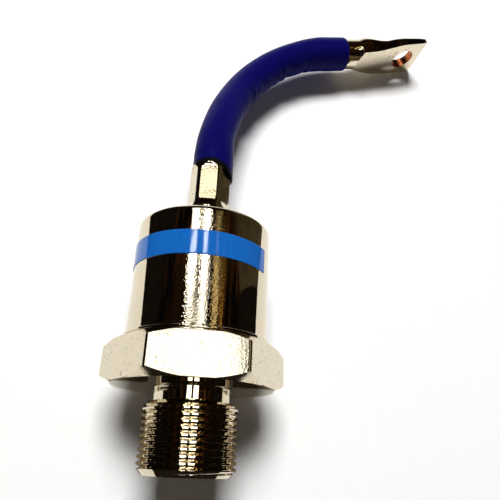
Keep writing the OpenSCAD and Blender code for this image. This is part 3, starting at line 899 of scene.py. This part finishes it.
class DIODE_OT_sleeve(bpy.types.Operator):
    """Builds the navy sleeve over the lead, from the crimp tube to the lug"""
    bl_idname = "diode.sleeve"
    bl_label = "Sleeve"

    def execute(self, context):
        size = context.scene.diode.lead
        path_step, sides = 0.0004, 72
        path, total = smooth_path(ROUTE, path_step)
        # Places along the lead: the laps' ends and their ease, the bend's start and end, the length and curve
        # of the mouth's lip, and the stretch in which the loose mouth comes back to the middle
        lap_end = context.scene.diode.can.spigot_len
        barrel_start = total - (Vector(ROUTE[-1]) - LUG_ROOT).length
        lap_ease = 0.012
        bend_start, bend_end = (0.022, 0.034), (0.066, 0.078)
        lip_len, lip_curve = 0.006, 1.5
        shift_span = (0.0045, 0.0125)
        # How far the bend flattens the sleeve, how far its ends draw in and over what length, and how much
        # wider the mouth is inside
        flatten, draw_in, draw_len, slack = 0.0003, 0.00018, 0.0005, 0.0002
        # How far the folds wander along the lead, their middle depth and its swing as shares, and how narrow
        # they are round the lead. Place and depth change as waves, with a rate in radians a metre and a
        # start.
        wander, depth_mid, depth_swing, narrow = 0.0016, 0.55, 0.45, 4
        place_rate, place_start, depth_rate, depth_start = 410, 1.3, 530, 0.4

        def radius(at, a):
            """Outside radius at a length along the lead and an angle from the bend's inner side."""
            lap = 1 - ramp(at, lap_end, lap_end + lap_ease) + ramp(at, barrel_start - lap_ease, barrel_start)
            r = size.sleeve_r + (size.lap_r - size.sleeve_r) * min(lap, 1.0)
            bend = ramp(at, *bend_start) * (1 - ramp(at, *bend_end))
            inner = max(math.cos(a), 0.0)
            r -= flatten * bend * math.cos(a) ** 2
            moved = at + wander * math.sin(at * place_rate + place_start)
            fold = 0.5 - 0.5 * math.cos(math.tau * moved / size.fold_step)
            fold *= depth_mid + depth_swing * math.sin(at * depth_rate + depth_start)
            r += (size.swell - (size.fold + size.swell) * fold) * bend * inner ** narrow
            edge = min(at, total - at)
            return r - draw_in * (1 - ramp(edge, 0, draw_len))

        outer, inside = [], []
        for i, point in enumerate(path):
            along = (path[min(i + 1, len(path) - 1)] - path[max(i - 1, 0)]).normalized()
            side = along.cross(Vector((0, 0, 1))).normalized()
            up = side.cross(along)
            at = total * i / (len(path) - 1)
            near = 1 - ramp(at, 0, lip_len)
            middle = point + side * size.mouth_shift * (1 - ramp(at, *shift_span))
            rows = ([], [])
            for a in columns(sides):
                out = side * math.cos(a) + up * math.sin(a)
                base = middle - along * size.mouth_lip * near * max(math.cos(a), 0.0) ** lip_curve
                r = radius(at, a)
                rows[0].append(base + out * r)
                rows[1].append(base + out * (r - size.sleeve_wall + slack * near))
            outer.append(rows[0])
            inside.append(rows[1])
        # The near-black band covers both faces at the mouth
        count = len(path)
        collar = round(size.collar / total * (count - 1))
        bands = [int(i < collar) for i in range(count)] + [int(i >= count - collar) for i in range(count)]
        sleeve = skinned("sleeve", outer + inside[::-1], closed=True, sharp=50, bands=bands)
        place_piece(sleeve, [sleeve_plastic(), dark_mouth_band()], "sleeve_film", "lead_sleeve")
        return {"FINISHED"}


class DIODE_OT_stud(bpy.types.Operator):
    """Builds the stud with its thread, neck, seat and chamfered hexagon as one turned piece"""
    bl_idname = "diode.stud"
    bl_label = "Stud and hexagon"

    def execute(self, context):
        size = context.scene.diode.stud
        slope = math.tan(size.chamfer)
        # A hexagon's width across flats as a share of that across corners, then its corners: how far they
        # would reach if sharp, the middle of their rounding, and half its span in degrees
        flats_share = math.cos(math.radians(30))
        corner_far = size.hex_af / 2 / flats_share
        corner_mid = corner_far - size.corner_r / flats_share
        corner_span = math.degrees(math.atan2(size.corner_r / 2, corner_mid + size.corner_r * flats_share))
        angles = set(columns(240))
        for corner in range(30, 360, 60):
            for k in (-3, -2, -1, 1, 2, 3):
                angles.add(math.radians(corner + corner_span * k / 3))
        angles = sorted(angles)
        top = size.seat + size.hex_t
        # Least depth of the chamfers, along the hexagon's flats
        least = size.edge_break * 0.6

        def hexagon(a):
            """Radius of the hexagon with its rounded corners."""
            off = abs(math.degrees(a) % 60 - 30)
            if off < corner_span:
                turn = math.radians(off)
                rest = size.corner_r ** 2 - (corner_mid * math.sin(turn)) ** 2
                return corner_mid * math.cos(turn) + math.sqrt(rest)
            return size.hex_af / 2 / math.cos(math.radians(30 - off))

        def face(radius):
            """Radius of a round face that the chamfers leave on the hexagon, inside its flats."""
            return lambda a: min(radius, hexagon(a) - size.edge_break)

        def seat_edge(a):
            """Place of the chamfer's outer edge on the stud's side."""
            return size.seat + max((hexagon(a) - size.seat_r) * slope, least)

        def top_edge(a):
            """Place of the chamfer's outer edge on the can's side."""
            return top - max((hexagon(a) - size.top_r) * slope, least)

        # How far the thread is shifted along the stud, and the root's and the flank's shares of half a pitch
        phase, root_flat, flank = 0.0054, 0.08, 0.62

        def thread(level):
            """Radius of the thread round the stud at a level, with both chamfers."""
            def at(a):
                wave = ((level + phase) / size.pitch - a / math.tau) % 1.0
                crest = min(max((abs(wave - 0.5) * 2 - root_flat) / flank, 0.0), 1.0)
                r = size.root_r + (size.stud_r - size.root_r) * crest
                end = size.stud_r - size.end_chamfer + level + size.stud_len
                start = size.stud_r - size.lead_in - size.neck_len - level
                return min(r, end, start)
            return at

        turned, milled = 0, 1
        rows = []
        steps = 300
        first, last = -size.stud_len, -size.neck_len
        for k in range(steps + 1):
            level = first + (last - first) * k / steps
            rows.append((turned, ring(size.seat + level, thread(level), angles)))
        neck_step, neck_ease, seat_inset = 0.0004, 0.00015, 0.001
        neck_end = size.seat - size.neck_len
        neck = eased([
            (neck_end, size.neck_r + neck_step, 0), (neck_end, size.neck_r, neck_ease),
            (size.seat, size.neck_r, size.neck_fillet), (size.seat, size.seat_r - seat_inset, 0)])
        rows += [(turned, ring(y, r, angles)) for y, r in held(neck)]
        rows.append((milled, ring(size.seat, face(size.seat_r), angles)))
        rows.append((milled, ring(seat_edge, hexagon, angles)))
        rows.append((milled, ring(top_edge, hexagon, angles)))
        rows.append((milled, ring(top, face(size.top_r), angles)))
        rows += [(turned, ring(y, size.pedestal_r, angles)) for y in (top, top + size.pedestal_h)]
        stud = skinned("stud", [points for _, points in rows], sharp=26, bands=[band for band, _ in rows])
        place_piece(stud, [turned_nickel(), milled_nickel()], "nickel_plate", "stud_base")
        return {"FINISHED"}


class DIODE_OT_can(bpy.types.Operator):
    """Builds the drawn can with its flange and shoulder, and the weld ring under it"""
    bl_idname = "diode.can"
    bl_label = "Can and weld ring"

    def execute(self, context):
        size = context.scene.diode.can
        inner = size.can_r - size.can_wall
        under = CAN_TOP - size.can_wall
        collar = CAN_TOP - size.seal_recess - size.seal_h
        collar_r = size.seal_r + size.can_wall
        around = 240
        # Roundings: fine inner edges, the foot, the flange, the corner above it, and the collar's lip
        fine, foot, flange, corner, lip = 0.0001, 0.00012, 0.0002, 0.00025, 0.0003
        can = turned_ring("can_shell", [
            (CAN_FOOT, size.flange_r, foot), (CAN_FOOT + size.flange_t, size.flange_r, flange),
            (CAN_FOOT + size.flange_t, size.can_r, corner), (CAN_TOP, size.can_r, size.shoulder),
            (CAN_TOP, size.seal_r, lip), (collar, size.seal_r, fine), (collar, collar_r, fine),
            (under, collar_r, flange), (under, inner, size.shoulder - size.can_wall),
            (CAN_FOOT, inner, fine)], around)
        place_piece(can, [drawn_nickel()], "nickel_plate", "can")
        low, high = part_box("weld_ring")
        weld = turned_ring("weld_seam", [
            (low[1], inner, fine), (low[1], size.flange_r, flange), (high[1], size.flange_r, lip),
            (high[1], inner, fine)], around)
        place_piece(weld, [drawn_nickel()], "nickel_plate", "weld_ring")
        return {"FINISHED"}


class DIODE_OT_label(bpy.types.Operator):
    """Builds the bare blue label band round the can"""
    bl_idname = "diode.label"
    bl_label = "Label band"

    def execute(self, context):
        size = context.scene.diode.can
        half = size.label_w / 2
        face_r = size.can_r + size.label_t
        edge = 0.00008
        section = held(eased([
            (-half, size.can_r, 0), (-half, face_r, edge), (half, face_r, edge), (half, size.can_r, 0)]))
        rings = []
        steps = 200
        for k in range(steps + 1):
            a = size.label_end - size.label_wrap * (1 - k / steps)
            points = []
            for across, r in section:
                x = r * math.sin(a)
                y = CAN_FOOT + size.label_at + across - x * math.tan(size.label_lean)
                points.append(Vector((x, y, AXIS_Z + r * math.cos(a))))
            rings.append(points)
        label = skinned("label", rings, sharp=40)
        place_piece(label, [label_film()], "label_film", "label_band")
        return {"FINISHED"}


class DIODE_OT_seal(bpy.types.Operator):
    """Builds the glass seal with its dished face between the can's collar and the tube"""
    bl_idname = "diode.seal"
    bl_label = "Glass seal"

    def execute(self, context):
        size = context.scene.diode.can
        angles = columns(144)
        top = CAN_TOP - size.seal_recess
        bottom = top - size.seal_h
        rings = []
        dish_depth, steps = 0.0005, 8
        for k in range(steps + 1):
            share = k / steps
            dish = dish_depth * (1 - (2 * share - 1) ** 2)
            r = size.tube_r + (size.seal_r - size.tube_r) * share
            rings.append(ring(top - dish, r, angles, TUBE_X * (1 - share)))
        rings += [ring(bottom, size.seal_r, angles), ring(bottom, size.tube_r, angles, TUBE_X)]
        seal = skinned("seal", rings, closed=True, sharp=40)
        place_piece(seal, [seal_glass()], "seal_glass", "glass_seal")
        return {"FINISHED"}


class DIODE_OT_tube(bpy.types.Operator):
    """Builds the tube out of the can, pressed to a hexagon round the lead"""
    bl_idname = "diode.tube"
    bl_label = "Crimp tube"

    def execute(self, context):
        size = context.scene.diode.can
        low, high = tube_low[1], tube_high[1]
        die_low = CAN_TOP + size.crimp_at + size.crimp_edge - size.crimp_foot
        die_high = CAN_TOP + size.crimp_at + size.crimp_len
        # Columns every few degrees on each flat of the crimp, and one on each of its edges
        flat = math.degrees(math.acos(size.crimp_half / size.tube_r))
        angles = set()
        for face in range(6):
            for off in (-30, -flat, *range(-25, 30, 5), flat):
                angles.add((size.crimp_turn + math.radians(60 * face + off)) % math.tau)
        angles = sorted(angles)

        def die(y):
            """Distance of the die's flats from the axis, with its rounded edges."""
            foot = y < (die_low + die_high) / 2
            edge = size.crimp_foot if foot else size.crimp_edge
            inside = y - die_low if foot else die_high - y
            if inside < 0:
                return size.tube_r * 2
            lift = max(edge - inside, 0)
            return size.crimp_half + edge - math.sqrt(edge ** 2 - lift ** 2)

        def outside(y):
            """Radius round the tube where the die meets it."""
            def at(a):
                off = (math.degrees(a - size.crimp_turn) + 30) % 60 - 30
                return min(size.tube_r, die(y) / math.cos(math.radians(off)))
            return at

        # The outside up to the step before the spigot, with close rings along the die's rounded edges, and
        # rings near the lower rim, beside the edges and at the step that keep the shading straight
        step = high - size.spigot_len
        rim, hold, ease, edge_steps = 0.0003, 0.0004, 0.0001, 24
        foot_end = die_low + size.crimp_foot
        places = [low, low + rim, CAN_TOP, die_low]
        places += [die_low + size.crimp_foot * k / edge_steps for k in range(1, edge_steps + 1)]
        places += [foot_end + hold, die_high - size.crimp_edge - hold]
        upper = [die_high - size.crimp_edge * (edge_steps - k) / edge_steps for k in range(edge_steps)]
        places += [y for y in upper if y < step - 2 * ease]
        rings = [ring(y, outside(y), angles, TUBE_X) for y in places]
        # The spigot and the bore, which the crimp narrows
        bore, narrow, taper = size.tube_r - size.tube_wall, size.crimp_half - size.tube_wall, 0.0006
        profile = [(step - ease, size.tube_r), (step, size.tube_r - ease)]
        profile += [(step, size.spigot_r), (high, size.spigot_r)]
        profile += [(high, bore), (die_high, bore), (die_high - taper, narrow)]
        profile += [(foot_end - taper, narrow), (foot_end - 2 * taper, bore), (low, bore)]
        rings += [ring(y, r, angles, TUBE_X) for y, r in profile]
        tube = skinned("tube", rings, closed=True, sharp=24)
        place_piece(tube, [pressed_nickel()], "nickel_plate", "crimp_tube")
        return {"FINISHED"}


class DIODE_OT_inside(bpy.types.Operator):
    """Gives the hidden pieces, which keep their CAD shape, the finish of their real material"""
    bl_idname = "diode.inside"
    bl_label = "Inner pieces"

    def execute(self, context):
        springs = ("disc_spring_1", "disc_spring_2", "disc_spring_3")
        wanted = {
            spring_steel(): ("spring_housing", "pressure_washer", *springs, "clamp_ring"),
            molybdenum(): ("lower_plate", "upper_plate"),
            silicon(): ("silicon_wafer",),
            cast_silicone(): ("edge_coating",),
            split_mica(): ("insulating_washer",),
            fluoropolymer(): ("locating_sleeve",),
            bare_copper(): ("contact_post", "inner_lead", "outer_lead"),
        }
        for made, names in wanted.items():
            for name in names:
                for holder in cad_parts[name].material_slots:
                    holder.material = made
        return {"FINISHED"}


class DIODE_PT_panel(bpy.types.Panel):
    """Lists the diode's pieces and settings in the sidebar"""
    bl_idname = "DIODE_PT_panel"
    bl_label = "Stud diode"
    bl_space_type = "VIEW_3D"
    bl_region_type = "UI"
    bl_category = "Stud diode"

    def draw(self, context):
        for made in OPERATORS:
            self.layout.operator(made.bl_idname)
        settings = context.scene.diode
        for group in (settings.stud, settings.can, settings.lead, settings.finish, settings.stage):
            box = self.layout.box()
            for key in group.__annotations__:
                box.prop(group, key)


OPERATORS = (
    DIODE_OT_stage, DIODE_OT_lug, DIODE_OT_sleeve, DIODE_OT_stud, DIODE_OT_can,
    DIODE_OT_label, DIODE_OT_seal, DIODE_OT_tube, DIODE_OT_inside,
)
CLASSES = (StudSizes, CanSizes, LeadSizes, Finishes, StageSettings, DiodeSettings, *OPERATORS, DIODE_PT_panel)


def register():
    for made in CLASSES:
        bpy.utils.register_class(made)
    bpy.types.Scene.diode = PointerProperty(type=DiodeSettings)


def unregister():
    del bpy.types.Scene.diode
    for made in reversed(CLASSES):
        bpy.utils.unregister_class(made)


def main():
    register()
    bpy.ops.diode.stage()
    bpy.ops.diode.lug()
    bpy.ops.diode.sleeve()
    bpy.ops.diode.stud()
    bpy.ops.diode.can()
    bpy.ops.diode.label()
    bpy.ops.diode.seal()
    bpy.ops.diode.tube()
    bpy.ops.diode.inside()


if __name__ == "__main__":
    main()
